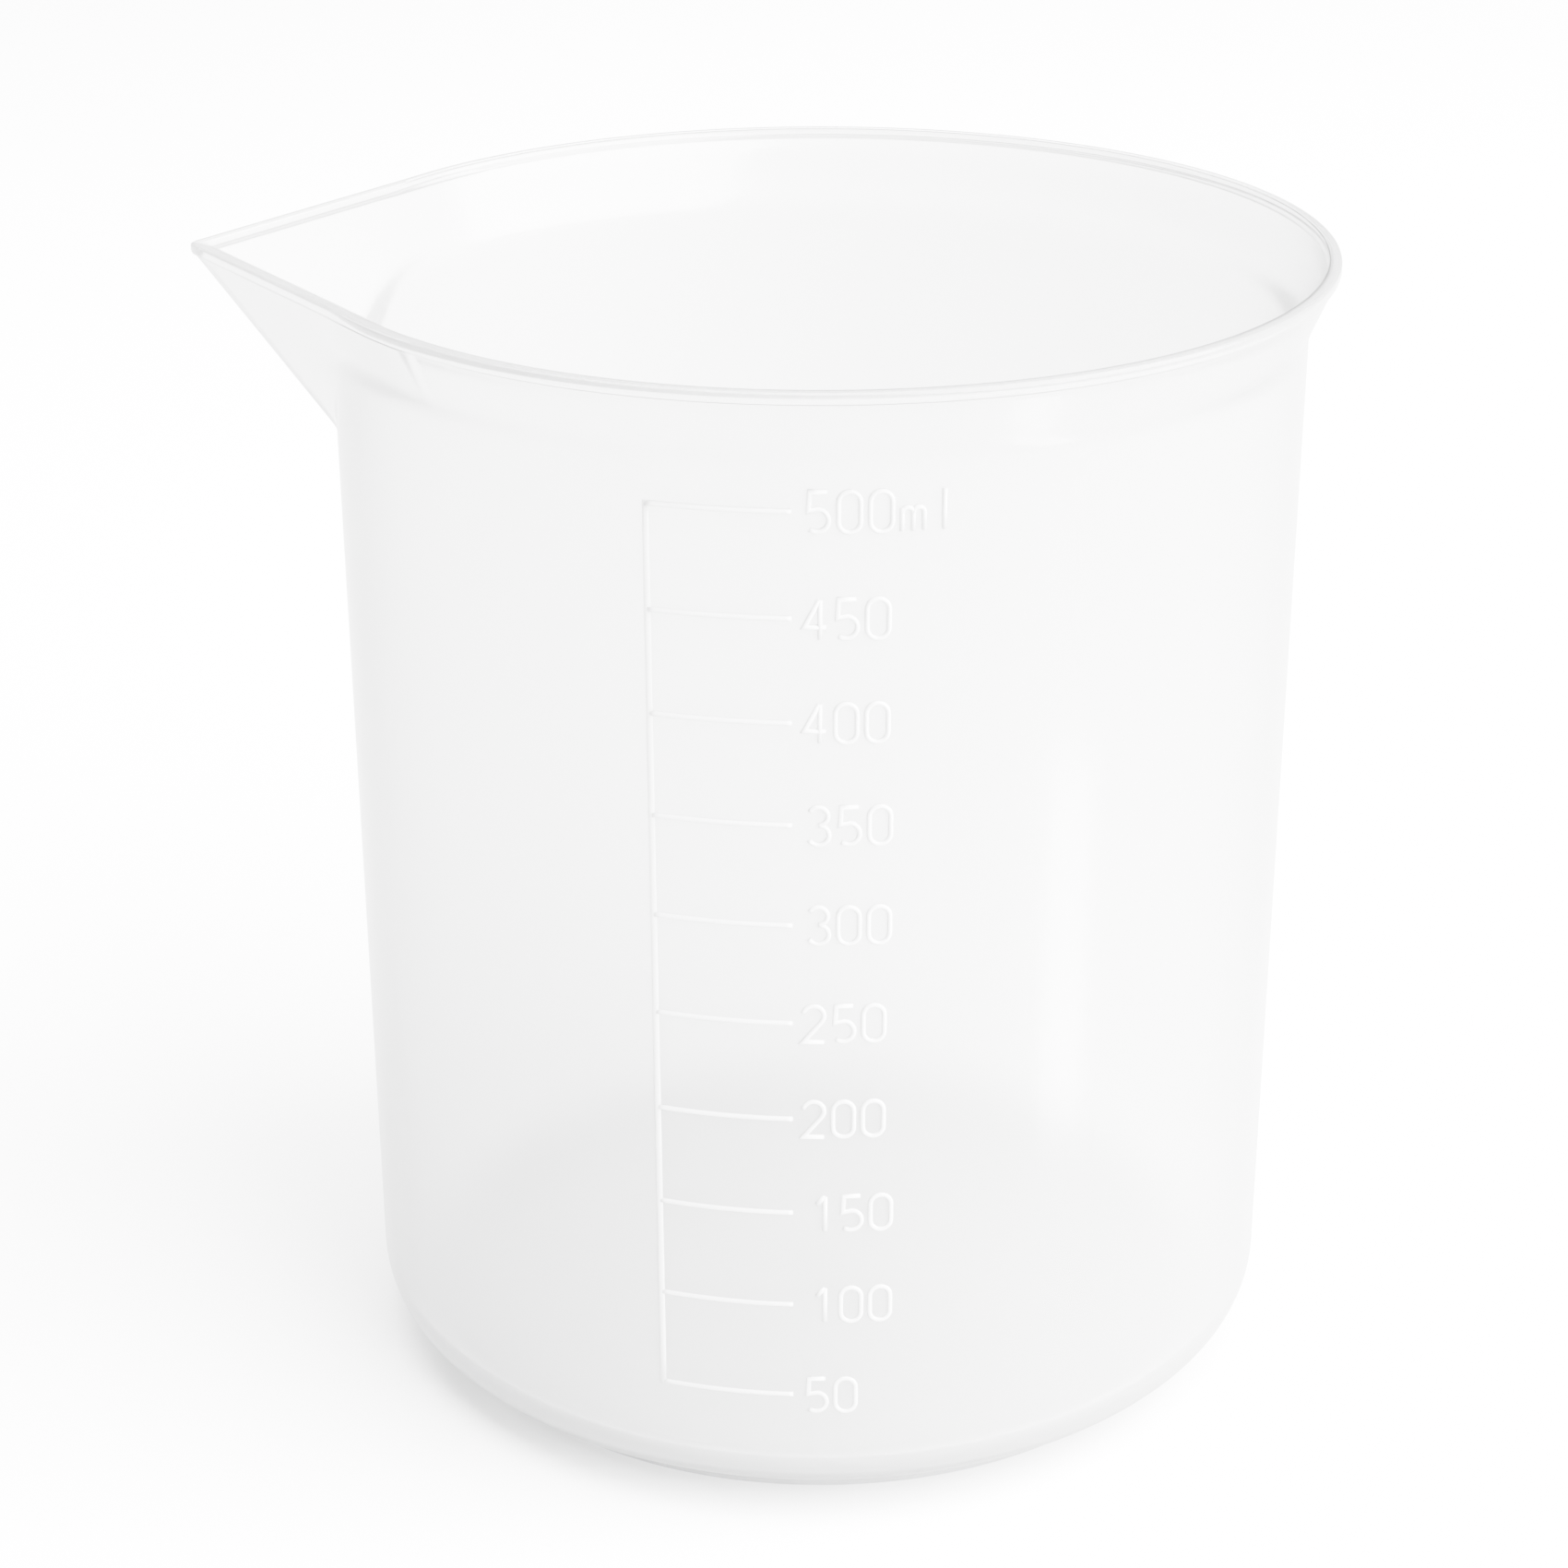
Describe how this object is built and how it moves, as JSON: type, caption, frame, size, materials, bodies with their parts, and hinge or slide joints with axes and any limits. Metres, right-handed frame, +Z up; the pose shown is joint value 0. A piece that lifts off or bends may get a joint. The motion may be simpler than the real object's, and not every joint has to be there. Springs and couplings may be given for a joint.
{
  "type": "beaker",
  "caption": "Low-form moulded translucent plastic laboratory beaker with a flared beaded rim, a pouring spout, a foot ring and a raised millilitre scale.",
  "frame": {"origin": "centre of the foot ring's resting plane, on the beaker's axis", "axes": "+Z up along the beaker's axis, -X towards the pouring spout, -Y towards the scale"},
  "size_m": [0.102, 0.092, 0.1062],
  "materials": {
    "body_plastic": "translucent natural polypropylene, satin",
    "scale_plastic": "raised marks in the same translucent polypropylene"
  },
  "bodies": {
    "root": {"foot_ring": "body_plastic", "floor": "body_plastic", "gate_mark": "body_plastic", "heel": "body_plastic", "body_wall": "body_plastic", "flared_mouth": "body_plastic", "rim_lip": "body_plastic", "spout": "body_plastic", "spout_lip": "body_plastic", "scale_rule": "scale_plastic", "graduation_050": "scale_plastic", "figures_050": "scale_plastic", "graduation_100": "scale_plastic", "figures_100": "scale_plastic", "graduation_150": "scale_plastic", "figures_150": "scale_plastic", "graduation_200": "scale_plastic", "figures_200": "scale_plastic", "graduation_250": "scale_plastic", "figures_250": "scale_plastic", "graduation_300": "scale_plastic", "figures_300": "scale_plastic", "graduation_350": "scale_plastic", "figures_350": "scale_plastic", "graduation_400": "scale_plastic", "figures_400": "scale_plastic", "graduation_450": "scale_plastic", "figures_450": "scale_plastic", "graduation_500": "scale_plastic", "figures_500": "scale_plastic"}
  },
  "joints": []
}
